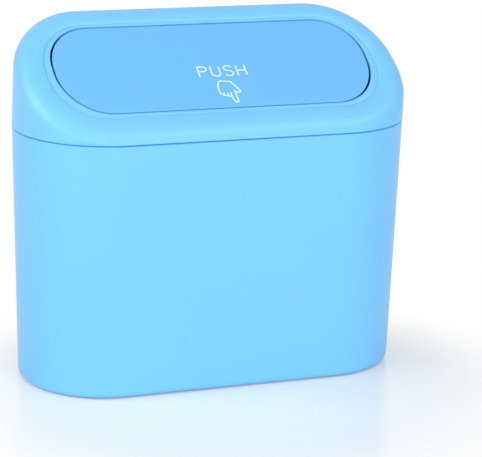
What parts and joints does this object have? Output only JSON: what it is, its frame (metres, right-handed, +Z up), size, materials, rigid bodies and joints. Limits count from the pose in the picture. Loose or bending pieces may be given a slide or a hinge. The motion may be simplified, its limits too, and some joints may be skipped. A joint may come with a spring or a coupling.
{
  "type": "car trash can",
  "caption": "Slim oval car trash can with a plug-in lid frame and a sloping flap that a press latch holds shut and wound springs throw open.",
  "frame": {"origin": "middle of the base, on the surface that the can stands on", "axes": "+X along the long side, -Y to the front, where the flap slopes down, +Z up"},
  "size_m": [0.185, 0.0834, 0.1642],
  "materials": {
    "body_plastic": "satin moulded polypropylene",
    "flap_plastic": "satin moulded polypropylene with a printed mark",
    "latch_plastic": "natural white acetal",
    "slider_plastic": "grey acetal",
    "bumper_rubber": "soft black rubber",
    "pin_steel": "zinc plated",
    "spring_steel": "drawn spring wire"
  },
  "bodies": {
    "bucket": {"bucket": "body_plastic"},
    "lid": {"lid_frame": "body_plastic", "flap_bumpers": "bumper_rubber", "hinge_pin_left": "pin_steel", "hinge_pin_right": "pin_steel", "hinge_spring_left": "spring_steel", "hinge_spring_right": "spring_steel", "latch_housing": "latch_plastic", "latch_spring": "spring_steel", "latch_guide_wire": "spring_steel", "latch_screws": "pin_steel"},
    "flap": {"flap_panel": "flap_plastic", "latch_striker": "slider_plastic", "striker_screws": "pin_steel"},
    "latch": {"latch_slider": "slider_plastic"}
  },
  "joints": [
    {"name": "lid_lift", "type": "slide", "parent": "bucket", "child": "lid", "axis": [0, 0, 1], "range_m": [0, 0.05]},
    {"name": "flap_hinge", "type": "hinge", "parent": "lid", "child": "flap", "pos_m": [0, 0.00326, 0.14258], "axis": [-1, 0, 0], "range_deg": [-3, 78], "stiffness_Nm_per_rad": 0.08, "springref_deg": 1.72, "deforming": ["hinge_spring_left", "hinge_spring_right"]},
    {"name": "latch_press", "type": "slide", "parent": "lid", "child": "latch", "axis": [0, -0.5446, 0.8387], "range_m": [-0.0023, 0], "stiffness_N_per_m": 60, "deforming": ["latch_spring"]}
  ]
}
